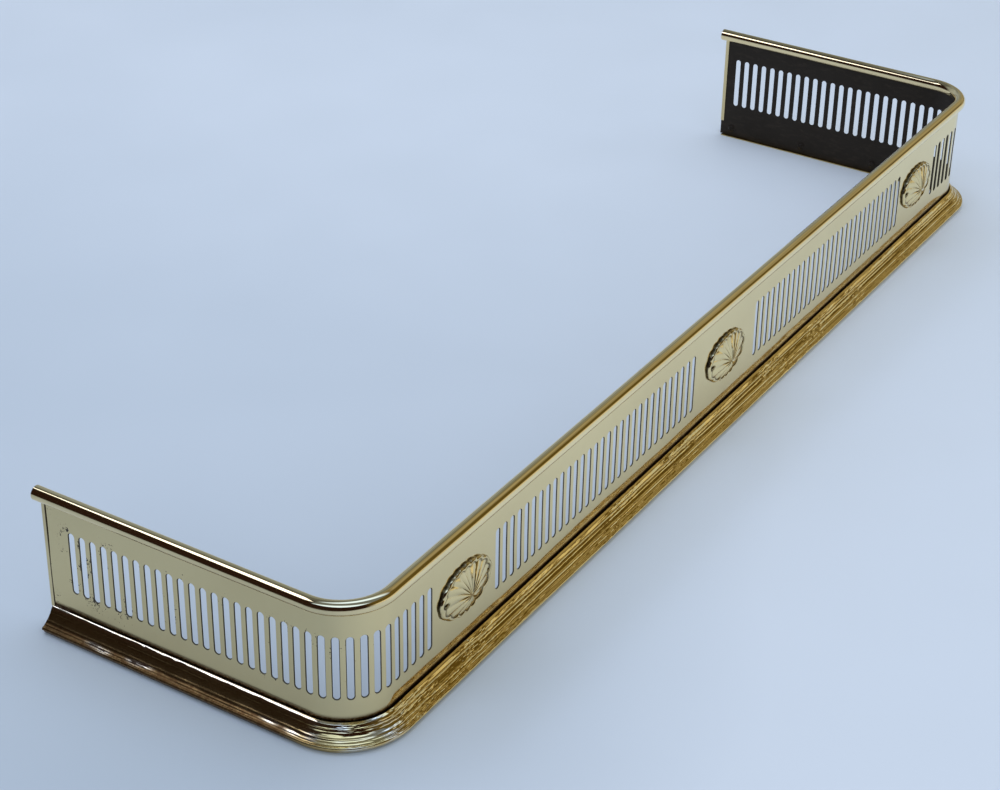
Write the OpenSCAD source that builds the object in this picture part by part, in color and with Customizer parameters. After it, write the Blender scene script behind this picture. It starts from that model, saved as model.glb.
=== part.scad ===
// Pierced brass hearth fender: a U of slotted sheet under a split-tube rail,
// standing on a pressed skirting, with three scallop shells on the front.
// X runs along the front, the front faces -Y, the open side is +Y, Z is up.
// The origin is at the middle of the floor area that the fender covers.

/* [Overall] */
// Width over the panel's outer faces
panel_w = 1354; // [1100:2:1600]
// Depth of the panel from its front face to the ends of the edging strips
panel_depth = 352; // [300:1:450]
// Radius of the panel's outer face at the two front corners
corner_r = 52; // [45:1:80]

/* [Pierced panel] */
// Thickness of the panel sheet
panel_t = 1; // [0.8:0.1:2]
// Distance from one slot to the next, along the outer face
slot_pitch = 12.7; // [10:0.1:16]
// Width of a slot
slot_w = 7; // [4:0.1:8]
// Height of a slot over its round ends
slot_h = 67; // [40:1:80]
// Height of the slots' lower ends above the floor
slot_z = 45; // [38:1:55]
// Slots in each block on the straight front
front_slots = 31; // [10:1:31]
// Slots in the block that goes from the left return round its corner
left_return_slots = 33; // [20:1:34]
// Slots in the block that goes from the right return round its corner
right_return_slots = 34; // [20:1:34]
// Distance from the panel's left end to the middle of the first slot
first_slot = 32.6; // [30:0.1:45]
// Distance between the two slots beside the middle shell
centre_gap = 147.3; // [120:0.1:170]

/* [Top rail] */
// Outside diameter of the rail tube
rail_d = 14.6; // [12:0.1:20]
// Wall of the rail tube
rail_wall = 1.1; // [0.8:0.1:2]
// Height of the rail's middle above the floor
rail_z = 143; // [135:1:170]
// How far the rail stands past the panel's ends
rail_overhang = 5; // [2:0.5:12]
// How far the panel's top edge goes up into the rail
rail_grip = 4.5; // [3:0.1:6]
// Clearance on each side of the panel where a piece slips over it
slip_fit = 0.1; // [0.05:0.01:0.2]

/* [Base moulding] */
// Sheet thickness of the pressed moulding
skirt_wall = 0.9; // [0.7:0.1:1.4]
// How far the moulding's ends stay back from the panel's ends
skirt_setback = 4; // [1:0.5:12]
// Radius of the rolled bead along the top
bead_r = 1.8; // [1.5:0.1:2]
// Distance of the bead's middle from the panel
bead_out = 3.9; // [3.7:0.1:6]
// Height of the bead's middle
bead_z = 20.2; // [19.6:0.1:24]
// Radius of the cove
cove_r = 30; // [20:0.5:45]
// Distance of the cove's top from the panel
cove_top_out = 5.5; // [5:0.1:8]
// Height of the cove's top
cove_top_z = 18.4; // [17:0.1:18.8]
// Distance of the cove's foot from the panel
cove_foot_out = 17.2; // [16.6:0.1:17.6]
// Height of the cove's foot
cove_foot_z = 7; // [6.4:0.1:8]
// Radius of the two fine reeds on the cove
reed_r = 0.6; // [0.4:0.05:0.8]
// Place of the upper reed on the cove, as a share of the cove from its top
upper_reed_share = 0.12; // [0:0.01:0.2]
// Place of the lower reed on the cove, as a share of the cove from its top
reed_share = 0.62; // [0.3:0.01:0.7]
// Radius of the lip bead under the cove
lip_r = 2; // [1.8:0.1:2.3]
// Distance of the lip bead's middle from the panel
lip_out = 17.6; // [17.2:0.1:18]
// Distance of the plain band's outer face from the panel, up at the lip bead
band_out = 18; // [17.8:0.1:18.4]
// The same at the floor, towards which the band leans in
band_foot_out = 16.8; // [15:0.1:17.5]
// How far the foot comes through to the inside of the panel
foot_in = 5; // [3:0.5:8]

/* [Edging strips] */
// Width of an edging strip on each face of the panel
edging_w = 5; // [4:0.1:8]
// Sheet thickness of the edging strips
edging_t = 0.6; // [0.5:0.05:1]
// Height of the strips' lower ends above the floor
edging_z = 20; // [12:1:30]

/* [Shell ornaments] */
// Width of a shell
shell_w = 86; // [60:1:94]
// Height of a shell
shell_h = 54; // [40:1:64]
// Height of the middle of a shell above the floor
shell_z = 80; // [75:1:90]
// Rise of a shell's dome over the shallow ring inside its rim
shell_rise = 6; // [3:0.1:10]
// Height of the shallow ring inside the rim
shell_dish = 2.6; // [2.2:0.1:4]
// Thickness of a shell at its outer edge
shell_edge = 1.4; // [1:0.1:2]
// Rise of the rolled rim
rim_roll = 1.6; // [0.5:0.1:2.5]
// Width of the rolled rim, as a share of the way out from the fan's root
rim_share = 0.12; // [0.08:0.01:0.2]
// How far the rim widens inward at each furrow, as a share of its width
rim_wave = 0.5; // [0:0.1:1]
// Ribs of the fan on a shell
fan_ribs = 11; // [7:1:15]
// Angle that the fan covers
fan_sweep = 220; // [180:5:240]
// Lobes on the lower side of a shell
low_lobes = 5; // [3:1:7]
// Depth of the furrows between the ribs
rib_depth = 1.8; // [0.5:0.1:2]
// How far the side ribs bow upward
rib_bow = 2.5; // [0:0.1:4]
// Depth of the notches between the lobes of the outline
lobe_depth = 0.9; // [0:0.1:2]
// Height of the fan's root below the middle of the shell
fan_drop = 5; // [3:0.5:12]
// Distance between the two pins of a shell
pin_spacing = 68; // [50:1:72]
// Diameter of a pin's shank
pin_d = 2.4; // [2:0.1:3]
// Diameter of a pin's domed head
pin_head_d = 5.6; // [4:0.1:7]
// Height of a pin's domed head
pin_head_h = 1.8; // [1:0.1:2.5]
// Depth of the flat seat cut for a pin's head, below the shallow ring
seat_depth = 0.6; // [0.3:0.1:1]
// Gap round a pin's head in its seat
seat_gap = 0.5; // [0.2:0.1:1]
// Diameter of a pin's riveted tail behind the panel
pin_tail_d = 3.8; // [3:0.1:5]
// Height of a pin's riveted tail
pin_tail_h = 1; // [0.6:0.1:1.5]

/* [Base fixings] */
// Diameter of a base screw's shank
screw_d = 4; // [3:0.1:5]
// Diameter of a base screw's domed head
screw_head_d = 10.5; // [8:0.1:12]
// Height of a base screw's domed head
screw_head_h = 2.6; // [1.5:0.1:4]
// Height of the base screws above the floor
screw_z = 11; // [9:0.5:14]
// Screws along the front
front_screws = 11; // [5:1:15]
// Distance between two screws on the front
front_screw_pitch = 115; // [60:1:118]
// Screws on each return
return_screws = 3; // [2:1:3]
// Distance between two screws on a return
return_screw_pitch = 105; // [60:1:110]
// Distance from a panel end to the first screw
first_screw = 16; // [12:1:30]
// How far a base screw stands past its clip
screw_end = 2; // [1:0.5:4]
// Thickness of a base clip
clip_t = 1.5; // [1:0.1:2.5]
// Width of a base clip
clip_w = 14; // [10:1:20]
// Length of a base clip's lower leg
clip_leg = 11; // [6:0.5:14]
// Height of a base clip's upright leg
clip_h = 16; // [14:0.5:20]

/* [Hidden] */
fine = 96;
small = 32;
// How far a cutting shape reaches past what it cuts
margin = 1;

// Reach of the whole fender, from which the panel's front face is placed
skirt_reach = lip_out + lip_r;
front_y = (skirt_reach - panel_depth - rail_overhang) / 2;
half_w = panel_w / 2;
panel_end = panel_depth - edging_t - slip_fit;

// The panel stands on the moulding's foot and ends inside the rail
panel_top = rail_z - rail_d / 2 + rail_grip;
panel_h = panel_top - skirt_wall;
edging_top = rail_z - rail_d / 2;

// Slot places
return_len = panel_end - corner_r;
corner_len = corner_r * PI / 2;
slot_mid_z = slot_z + slot_h / 2;
last_return_slot = first_slot + (left_return_slots - 1) * slot_pitch;
block_len = (front_slots - 1) * slot_pitch;
return_block_x = half_w - corner_r - (last_return_slot - return_len - corner_len);
side_shell_x = (return_block_x + centre_gap / 2 + block_len) / 2;

// ---------- helpers ----------

// Sweeps a section round the U, from end to end. The section is drawn with X as the
// distance outward from the panel's outer face and Y as the height above the floor.
module along_u(end_y) {
    straight = end_y - corner_r;
    front_len = panel_w - 2 * corner_r;
    for (side = [-1, 1])
        mirror([side > 0 ? 1 : 0, 0, 0])
            translate([-half_w, front_y + end_y, 0])
                rotate([90, 0, 0])
                    linear_extrude(straight)
                        mirror([1, 0]) children();
    translate([front_len / 2, front_y, 0])
        rotate([90, 0, -90])
            linear_extrude(front_len)
                children();
    for (side = [-1, 1])
        mirror([side > 0 ? 1 : 0, 0, 0])
            translate([-half_w + corner_r, front_y + corner_r, 0])
                rotate([0, 0, 180])
                    rotate_extrude(angle = 90, $fn = fine * 2)
                        translate([corner_r, 0]) children();
}

// Puts children on the outer face at a distance s from the left panel end. There, the
// children's Z is the outward direction and their Y points up.
module on_return(s) {
    turn = (s - return_len) / corner_r * 180 / PI;
    if (s <= return_len)
        translate([-half_w, front_y + panel_end - s, 0])
            rotate([90, 0, -90]) children();
    else if (s <= return_len + corner_len)
        translate([-half_w + corner_r, front_y + corner_r, 0])
            rotate([0, 0, turn])
                translate([-corner_r, 0, 0])
                    rotate([90, 0, -90]) children();
    else
        on_front(-half_w + corner_r + s - return_len - corner_len) children();
}

// The same on the straight front, at a distance x from its middle
module on_front(x) {
    translate([x, front_y, 0])
        rotate([90, 0, 0]) children();
}

module slot_cutter() {
    straight = (slot_h - slot_w) / 2;
    translate([0, slot_mid_z, -panel_t - margin])
        linear_extrude(panel_t + 2 * margin)
            union() {
                square([slot_w, 2 * straight], center = true);
                for (end = [-1, 1])
                    translate([0, end * straight])
                        circle(d = slot_w, $fn = small);
            }
}

// ---------- panel ----------

module panel() {
    color("darkkhaki")
        difference() {
            along_u(panel_end)
                translate([-panel_t, skirt_wall])
                    square([panel_t, panel_h]);
            for (side = [0, 1])
                mirror([side, 0, 0]) {
                    for (i = [0 : [left_return_slots, right_return_slots][side] - 1])
                        on_return(last_return_slot - i * slot_pitch) slot_cutter();
                    for (i = [0 : front_slots - 1])
                        on_front(centre_gap / 2 + i * slot_pitch) slot_cutter();
                    for (i = [0 : return_screws - 1])
                        on_return(first_screw + i * return_screw_pitch) screw_hole();
                }
            at_front_screws() screw_hole();
            for (x = [-side_shell_x, 0, side_shell_x])
                on_front(x) pin_holes();
        }
}

module screw_hole() {
    translate([0, screw_z, -panel_t - margin])
        cylinder(h = panel_t + 2 * margin, d = screw_d + 2 * slip_fit, $fn = small);
}

module pin_holes() {
    for (end = [-1, 1])
        translate([end * pin_spacing / 2, shell_z, -panel_t - margin])
            cylinder(h = panel_t + 2 * margin, d = pin_d + 2 * slip_fit, $fn = small);
}

// ---------- top rail ----------

module top_rail() {
    color("goldenrod")
        along_u(panel_depth + rail_overhang)
            translate([-panel_t / 2, rail_z])
                difference() {
                    circle(d = rail_d, $fn = fine);
                    circle(d = rail_d - 2 * rail_wall, $fn = fine);
                    translate([-panel_t / 2 - slip_fit, -rail_d])
                        square([panel_t + 2 * slip_fit, rail_d]);
                }
}

// ---------- base moulding ----------

// Centre of the arc through the cove's two ends, on the outer side of them
cove_chord = norm([cove_foot_out - cove_top_out, cove_foot_z - cove_top_z]);
cove_dir = [cove_foot_out - cove_top_out, cove_foot_z - cove_top_z] / cove_chord;
cove_sag = sqrt(cove_r * cove_r - cove_chord * cove_chord / 4);
cove_mid = [cove_top_out + cove_foot_out, cove_top_z + cove_foot_z] / 2;
cove_centre = cove_mid + cove_sag * [-cove_dir[1], cove_dir[0]];

function cove_point(share) =
    let (chord_point = [cove_top_out, cove_top_z] + share * cove_chord * cove_dir,
         away = chord_point - cove_centre)
    cove_centre + away * cove_r / norm(away);

module ring_2d(r, wall) {
    difference() {
        circle(r = r, $fn = small * 2);
        circle(r = r - wall, $fn = small * 2);
    }
}

// The cove's sheet runs on a little past both of its ends, into the bead and the lip
module cove_2d() {
    low_z = cove_foot_z - lip_r / 2;
    high_z = bead_z - bead_r / 2;
    intersection() {
        translate(cove_centre)
            difference() {
                circle(r = cove_r + skirt_wall, $fn = fine * 4);
                circle(r = cove_r, $fn = fine * 4);
            }
        translate([0, low_z])
            square([lip_out, high_z - low_z]);
    }
}

// The lip bead is a ring with its side towards the panel cut away
module lip_2d(lip_z) {
    difference() {
        translate([lip_out, lip_z])
            ring_2d(lip_r, skirt_wall);
        translate([lip_out - 2 * lip_r, lip_z - 2 * lip_r])
            square([2 * lip_r, 3 * lip_r - skirt_wall]);
    }
}

module moulding_2d() {
    lip_z = cove_foot_z - lip_r;
    band_top_z = lip_z - lip_r + skirt_wall / 2;
    foot_len = band_foot_out + panel_t + foot_in;
    // rolled bead along the top
    translate([bead_out, bead_z])
        ring_2d(bead_r, skirt_wall);
    cove_2d();
    // two fine reeds, pressed into the cove
    for (share = [upper_reed_share, reed_share])
        translate(cove_point(share))
            circle(r = reed_r, $fn = small);
    lip_2d(lip_z);
    // plain band, leaning in down to the floor
    polygon([
        [band_out, band_top_z], [band_foot_out, 0],
        [band_foot_out - skirt_wall, 0], [band_out - skirt_wall, band_top_z]
    ]);
    // foot, turned in under the panel
    translate([band_foot_out - foot_len, 0])
        square([foot_len, skirt_wall]);
}

module base_moulding() {
    color("darkgoldenrod")
        along_u(panel_depth - skirt_setback)
            moulding_2d();
}

// ---------- edging strips ----------

module edging() {
    gap = panel_t + 2 * slip_fit;
    strip_h = edging_top - edging_z;
    translate([-half_w - slip_fit - edging_t, front_y + panel_depth - edging_w, edging_z])
        difference() {
            cube([gap + 2 * edging_t, edging_w, strip_h]);
            translate([edging_t, -edging_t, -margin])
                cube([gap, edging_w, strip_h + 2 * margin]);
        }
}

module left_edging() {
    color("khaki") edging();
}

module right_edging() {
    color("khaki") mirror([1, 0, 0]) edging();
}

// ---------- scallop shells ----------

// A shell is drawn flat, X across and Y up, and swells along Z. Its face is a fan of rays
// from a root low on the shell. Each rib and each lower lobe takes the same number of
// rays, so that a furrow always falls on a ray.
rib_steps = 6;
fan_rings = 9;
rim_rings = 4;
ring_count = fan_rings + rim_rings;
ray_count = (fan_ribs + low_lobes) * rib_steps;
fan_rays = fan_ribs * rib_steps;
fan_start = 90 - fan_sweep / 2;
shell_root = [0, -fan_drop];

function ray_angle(i) =
    i < fan_rays
        ? fan_start + fan_sweep * i / fan_rays
        : fan_start + fan_sweep + (360 - fan_sweep) * (i - fan_rays) / (ray_count - fan_rays);

// 0 in a furrow and 1 on the crest of a rib
function crest(i) = sin(180 * (i % rib_steps) / rib_steps);

// Distance from the root to the oval outline at an angle
function oval_reach(a) =
    let (dir = [cos(a) * 2 / shell_w, sin(a) * 2 / shell_h],
         off = [shell_root[0] * 2 / shell_w, shell_root[1] * 2 / shell_h],
         b = dir * off,
         q = dir * dir)
    (-b + sqrt(b * b - q * (off * off - 1))) / q;

// Share of the way out at which the rim begins, in scallops between the furrows
function rim_start(i) = 1 - rim_share * (1 + rim_wave * (1 - crest(i)));

// Share of the way out of ring k on ray i
function ring_share(i, k) =
    k <= fan_rings
        ? rim_start(i) * k / fan_rings
        : rim_start(i) + (1 - rim_start(i)) * (k - fan_rings) / rim_rings;

// Point of ray i at a share t of the way out to the outline
function shell_point(i, t) =
    let (a = ray_angle(i),
         reach = oval_reach(a) - lobe_depth * (1 - crest(i)),
         bow = rib_bow * abs(cos(a)) * (1 + sin(a)) * sin(180 * t))
    shell_root + t * reach * [cos(a), sin(a)] + [0, bow];

function shell_height(i, t) =
    let (start = rim_start(i),
         inner = min(t / start, 1),
         outer = max((t - start) / (1 - start), 0),
         ring = shell_dish + (shell_edge - shell_dish) * outer,
         dome = shell_rise * (1 - inner * inner),
         furrow = rib_depth * (1 - crest(i)) * sin(180 * sqrt(inner)))
    ring + dome - furrow + rim_roll * sin(180 * outer);

module scallop() {
    face = [
        for (k = [1 : ring_count], i = [0 : ray_count - 1])
            let (t = ring_share(i, k),
                 p = shell_point(i, t))
            [p[0], p[1], shell_height(i, t)]
    ];
    back = [
        for (i = [0 : ray_count - 1])
            let (p = shell_point(i, 1))
            [p[0], p[1], 0]
    ];
    top_mid = len(face) + len(back);
    mid = [
        [shell_root[0], shell_root[1], shell_height(0, 0)],
        [shell_root[0], shell_root[1], 0]
    ];
    walls = [
        for (k = [0 : ring_count - 1], i = [0 : ray_count - 1])
            let (j = (i + 1) % ray_count,
                 near = k * ray_count,
                 far = near + ray_count)
            each [[near + i, far + j, far + i], [near + i, near + j, far + j]]
    ];
    caps = [
        for (i = [0 : ray_count - 1])
            let (j = (i + 1) % ray_count)
            each [[top_mid, j, i], [top_mid + 1, len(face) + i, len(face) + j]]
    ];
    polyhedron(concat(face, back, mid), concat(walls, caps), convexity = 6);
}

// Height of the flat seats that the pins' heads bear on
pin_seat = shell_dish - seat_depth;

module shell_at(x) {
    on_front(x)
        difference() {
            translate([0, shell_z, 0]) scallop();
            for (end = [-1, 1])
                translate([end * pin_spacing / 2, shell_z, 0]) {
                    translate([0, 0, -margin])
                        cylinder(h = margin + shell_dish, d = pin_d + 2 * slip_fit, $fn = small);
                    translate([0, 0, pin_seat])
                        cylinder(h = shell_rise + rim_roll, d = pin_head_d + 2 * seat_gap, $fn = small);
                }
        }
}

module left_shell() {
    color("gold") shell_at(-side_shell_x);
}

module centre_shell() {
    color("gold") shell_at(0);
}

module right_shell() {
    color("gold") shell_at(side_shell_x);
}

module dome_head(d, h) {
    r = (d * d / 4 + h * h) / (2 * h);
    intersection() {
        translate([0, 0, h - r]) sphere(r = r, $fn = fine);
        cylinder(h = h + margin, d = d + margin, $fn = small);
    }
}

module shell_pin() {
    translate([0, 0, pin_seat]) dome_head(pin_head_d, pin_head_h);
    translate([0, 0, -panel_t]) cylinder(h = panel_t + pin_seat, d = pin_d, $fn = small);
    translate([0, 0, -panel_t - pin_tail_h]) cylinder(h = pin_tail_h, d = pin_tail_d, $fn = small);
}

module pins_at(x) {
    for (end = [-1, 1])
        on_front(x + end * pin_spacing / 2)
            translate([0, shell_z, 0]) shell_pin();
}

module left_shell_pins() {
    color("peru") pins_at(-side_shell_x);
}

module centre_shell_pins() {
    color("peru") pins_at(0);
}

module right_shell_pins() {
    color("peru") pins_at(side_shell_x);
}

// ---------- base fixings ----------

module at_front_screws() {
    for (i = [0 : front_screws - 1])
        on_front((i - (front_screws - 1) / 2) * front_screw_pitch) children();
}

module at_return_screws() {
    for (i = [0 : return_screws - 1])
        on_return(first_screw + i * return_screw_pitch) children();
}

module base_screw() {
    translate([0, screw_z, -panel_t]) {
        mirror([0, 0, 1]) dome_head(screw_head_d, screw_head_h);
        cylinder(h = panel_t + clip_t + screw_end, d = screw_d, $fn = small);
    }
}

module base_clip() {
    difference() {
        translate([-clip_w / 2, skirt_wall, 0])
            union() {
                cube([clip_w, clip_h - skirt_wall, clip_t]);
                cube([clip_w, clip_t, clip_leg]);
            }
        translate([0, screw_z, -margin])
            cylinder(h = clip_t + 2 * margin, d = screw_d + 2 * slip_fit, $fn = small);
    }
}

module left_base_screws() {
    color("dimgray") at_return_screws() base_screw();
}

module front_base_screws() {
    color("dimgray") at_front_screws() base_screw();
}

module right_base_screws() {
    color("dimgray") mirror([1, 0, 0]) at_return_screws() base_screw();
}

module left_base_clips() {
    color("slategray") at_return_screws() base_clip();
}

module front_base_clips() {
    color("slategray") at_front_screws() base_clip();
}

module right_base_clips() {
    color("slategray") mirror([1, 0, 0]) at_return_screws() base_clip();
}

panel();
top_rail();
base_moulding();
left_edging();
right_edging();
left_shell();
centre_shell();
right_shell();
left_shell_pins();
centre_shell_pins();
right_shell_pins();
left_base_screws();
front_base_screws();
right_base_screws();
left_base_clips();
front_base_clips();
right_base_clips();
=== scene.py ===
import math

import bmesh
import bpy
from mathutils import Matrix, Vector, noise


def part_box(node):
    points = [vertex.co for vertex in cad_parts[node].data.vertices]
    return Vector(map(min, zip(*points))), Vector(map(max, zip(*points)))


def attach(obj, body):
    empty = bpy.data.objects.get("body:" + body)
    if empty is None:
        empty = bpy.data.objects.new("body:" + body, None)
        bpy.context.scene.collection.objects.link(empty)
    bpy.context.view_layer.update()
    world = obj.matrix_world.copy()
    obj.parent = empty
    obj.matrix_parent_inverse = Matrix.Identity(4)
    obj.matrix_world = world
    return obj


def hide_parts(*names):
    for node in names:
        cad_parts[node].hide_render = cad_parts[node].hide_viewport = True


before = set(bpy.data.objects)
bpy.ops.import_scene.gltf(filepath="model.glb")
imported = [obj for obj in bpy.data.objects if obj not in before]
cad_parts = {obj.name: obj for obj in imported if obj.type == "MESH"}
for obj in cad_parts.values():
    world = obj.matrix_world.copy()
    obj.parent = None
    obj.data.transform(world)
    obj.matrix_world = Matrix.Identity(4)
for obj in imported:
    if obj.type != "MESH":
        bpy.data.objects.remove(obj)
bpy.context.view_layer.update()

# ---------- sizes, in metres, as the frame has them ----------

MM = 0.001
panel_low, panel_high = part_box("panel")
rail_low, rail_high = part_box("top_rail")
foot_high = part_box("base_moulding")[1]

HALF_W = panel_high.x
FRONT_Y = panel_low.y
PANEL_END_Y = panel_high.y
PANEL_FOOT_Z = panel_low.z
PANEL_TOP_Z = panel_high.z
CORNER_R = 52 * MM
PANEL_T = 1 * MM

SLOT_PITCH = 12.7 * MM
SLOT_R = 3.5 * MM
SLOT_ROLL = 0.35 * MM
SLOT_H = 67 * MM
SLOT_Z = 45 * MM
SLOT_TOP_Z = SLOT_Z + SLOT_H
LOW_ROUND_Z = SLOT_Z + SLOT_R
HIGH_ROUND_Z = SLOT_TOP_Z - SLOT_R
LEFT_RETURN_SLOTS = 33
RIGHT_RETURN_SLOTS = 34
FRONT_SLOTS = 31
FIRST_SLOT = 32.6 * MM
CENTRE_GAP = 147.3 * MM

RAIL_D = rail_high.z - rail_low.z
RAIL_Z = (rail_high.z + rail_low.z) / 2
RAIL_WALL = 1.1 * MM
RAIL_SLIT_FIT = 0.1 * MM
RAIL_PAST_END = rail_high.y - PANEL_END_Y

SKIRT_WALL = 0.9 * MM
SKIRT_SETBACK = PANEL_END_Y - foot_high.y
BEAD_Z = 20.7 * MM
BEAD_TOP_Z = 21.6 * MM
BEAD_CURL_R = 0.8 * MM
BEAD_CURL = (2.0 * MM, 20.78 * MM)
BEAD_CROWN_R = 8 * MM
BEAD_CROWN = (-0.58 * MM, 14.06 * MM)
BEAD_NOSE_R = 1.2 * MM
BEAD_NOSE = (3.33 * MM, 19.63 * MM)
COVE_R = 30 * MM
COVE_TOP = (5.5 * MM, 18.4 * MM)
COVE_FOOT = (17.2 * MM, 7 * MM)
# Raised lines on the cove: share of the way down it, rise, and reach to each side
UPPER_REED = (0.1, 0.45 * MM, 1.1 * MM)
LOWER_REED = (0.62, 0.6 * MM, 1.7 * MM)
WORN_LINES = ((0.3, 0.22 * MM, 1.2 * MM), (0.85, 0.4 * MM, 1.3 * MM))
LIP_R = 2 * MM
LIP_OUT = 17.6 * MM
BAND_OUT = 18 * MM
BAND_FOOT_OUT = 16.8 * MM
FOLD_R = 1 * MM
FOOT_IN = 5 * MM

RETURN_LEN = PANEL_END_Y - FRONT_Y - CORNER_R
ARC_LEN = CORNER_R * math.pi / 2
FRONT_LEN = 2 * (HALF_W - CORNER_R)
PATH_LEN = 2 * RETURN_LEN + 2 * ARC_LEN + FRONT_LEN
MIDDLE_S = PATH_LEN / 2


def steps(start, end, count):
    """Evenly spaced values from start to end, both included."""
    return [start + (end - start) * k / count for k in range(count + 1)]


def ramp(value, zero_at, one_at):
    """0 at one value and 1 at another, straight between them and held beyond."""
    return min(max((value - zero_at) / (one_at - zero_at), 0), 1)


# ---------- the U-shaped path that the sheet, rail and moulding follow ----------

def on_path(s, out, z):
    """A point at length s along the panel's outer face, a distance out from it, at height z."""
    mirrored = s > MIDDLE_S
    if mirrored:
        s = PATH_LEN - s
    if s < RETURN_LEN:
        point = Vector((-HALF_W - out, PANEL_END_Y - s, z))
    elif s < RETURN_LEN + ARC_LEN:
        turn = (s - RETURN_LEN) / CORNER_R
        reach = CORNER_R + out
        centre = Vector((-HALF_W + CORNER_R, FRONT_Y + CORNER_R, z))
        point = centre + Vector((-math.cos(turn), -math.sin(turn), 0)) * reach
    else:
        x = -HALF_W + CORNER_R + s - RETURN_LEN - ARC_LEN
        point = Vector((x, FRONT_Y - out, z))
    if mirrored:
        point.x = -point.x
    return point


def stations(start, end, gap, corner_gap):
    """Lengths along the path from start to end, closer together round the corners."""
    stops = [start, RETURN_LEN, RETURN_LEN + ARC_LEN]
    stops += [PATH_LEN - RETURN_LEN - ARC_LEN, PATH_LEN - RETURN_LEN, end]
    gaps = (gap, corner_gap, gap, corner_gap, gap)
    places = [start]
    for a, b, apart in zip(stops, stops[1:], gaps):
        places += steps(a, b, max(1, round((b - a) / apart)))[1:]
    return places


def slot_places():
    """Lengths along the path of the middle of every slot."""
    last = FIRST_SLOT + (LEFT_RETURN_SLOTS - 1) * SLOT_PITCH
    left = [last - i * SLOT_PITCH for i in reversed(range(LEFT_RETURN_SLOTS))]
    right = [PATH_LEN - last + i * SLOT_PITCH for i in range(RIGHT_RETURN_SLOTS)]
    half = [CENTRE_GAP / 2 + i * SLOT_PITCH for i in range(FRONT_SLOTS)]
    return left + [MIDDLE_S - x for x in reversed(half)] + [MIDDLE_S + x for x in half] + right


SLOTS = slot_places()
LEFT_SHELL_S = (SLOTS[LEFT_RETURN_SLOTS - 1] + SLOTS[LEFT_RETURN_SLOTS]) / 2
SHELL_PLACES = {
    "left": LEFT_SHELL_S,
    "centre": MIDDLE_S,
    "right": PATH_LEN - LEFT_SHELL_S,
}


# ---------- mesh helpers ----------

def add_piece(name, mesh, materials, replaced):
    """Puts a finished mesh in the scene as a piece of the fender."""
    piece = bpy.data.objects.new(name, mesh)
    bpy.context.scene.collection.objects.link(piece)
    for material in materials:
        mesh.materials.append(material)
    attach(piece, "root")
    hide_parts(*replaced)


def finish_mesh(bm, name, sharp_angle):
    """Turns a bmesh into a smooth-shaded mesh with edges sharp above an angle in degrees."""
    bmesh.ops.recalc_face_normals(bm, faces=bm.faces)
    mesh = bpy.data.meshes.new(name)
    bm.to_mesh(mesh)
    bm.free()
    mesh.shade_smooth()
    mesh.set_sharp_from_angle(angle=math.radians(sharp_angle))
    return mesh


def skin_rings(bm, rings):
    """Joins closed rings of points, one after the other, and gives the new faces in order."""
    faces = []
    for near, far in zip(rings, rings[1:]):
        for k in range(len(near)):
            j = (k + 1) % len(near)
            faces.append(bm.faces.new((near[k], near[j], far[j], far[k])))
    return faces


def cap_ends(bm, first, last):
    """Closes the first and the last ring with triangles."""
    bmesh.ops.triangulate(bm, faces=[bm.faces.new(first), bm.faces.new(last)])


def sweep(name, section, places, dent, sharp_angle):
    """
    Sweeps a closed section of (out, z) points along the path. dent gives each point's shift. Each
    point carries its place before the dent, as run: (length along the path, out, z).
    """
    bm = bmesh.new()
    run = bm.verts.layers.float_vector.new("run")
    rings = []
    for s in places:
        ring = []
        for k, (out, z) in enumerate(section):
            shift_out, shift_z = dent(s, k, out, z)
            vert = bm.verts.new(on_path(s, out + shift_out, z + shift_z))
            vert[run] = Vector((s, out, z))
            ring.append(vert)
        rings.append(ring)
    skin_rings(bm, rings)
    cap_ends(bm, rings[0], rings[-1][::-1])
    return finish_mesh(bm, name, sharp_angle)


def arc(centre, radius, start, end, count):
    """Points on an arc, angles in degrees from the outward direction."""
    points = []
    for degrees in steps(start, end, count):
        angle = math.radians(degrees)
        points.append((centre[0] + radius * math.cos(angle), centre[1] + radius * math.sin(angle)))
    return points


def thicken(line, wall):
    """A closed section: the line, and back along it a wall's thickness inside it."""
    inner = []
    for k, point in enumerate(line):
        before = line[max(k - 1, 0)]
        after = line[min(k + 1, len(line) - 1)]
        along = Vector((after[0] - before[0], after[1] - before[1])).normalized()
        inner.append((point[0] + along.y * wall, point[1] - along.x * wall))
    return line + inner[::-1]


def lathe(bm, profile, place, axis_out, count):
    """Turns a profile of (radius, height) points about an axis, closed at both ends."""
    rings = []
    side = axis_out.orthogonal().normalized()
    other = axis_out.cross(side)
    for radius, height in profile:
        ring = []
        for k in range(count):
            angle = 2 * math.pi * k / count
            spoke = side * math.cos(angle) + other * math.sin(angle)
            ring.append(bm.verts.new(place + spoke * radius + axis_out * height))
        rings.append(ring)
    skin_rings(bm, rings)
    bm.faces.new(rings[0])
    bm.faces.new(rings[-1])


# ---------- colours ----------

CLEAN_BRASS = (0.76, 0.62, 0.34, 1)
RAIL_BRASS = (0.86, 0.70, 0.40, 1)
GOLD_BRASS = (0.84, 0.62, 0.25, 1)
BROWN_BRASS = (0.45, 0.30, 0.12, 1)
# Pale colour of the painted highlights on the moulding
PALE_HIGHLIGHT = (0.82, 0.79, 0.72, 1)
PIN_BRASS = (0.22, 0.17, 0.08, 1)
# Cut edges: dark from paint and oxide, and darker still as painted shade
CUT_BRASS = (0.12, 0.1, 0.07, 1)
CUT_GRIME_AND_SHADE = (0.04, 0.03, 0.02, 1)
SPECK_BROWN = (0.035, 0.028, 0.018, 1)
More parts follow.
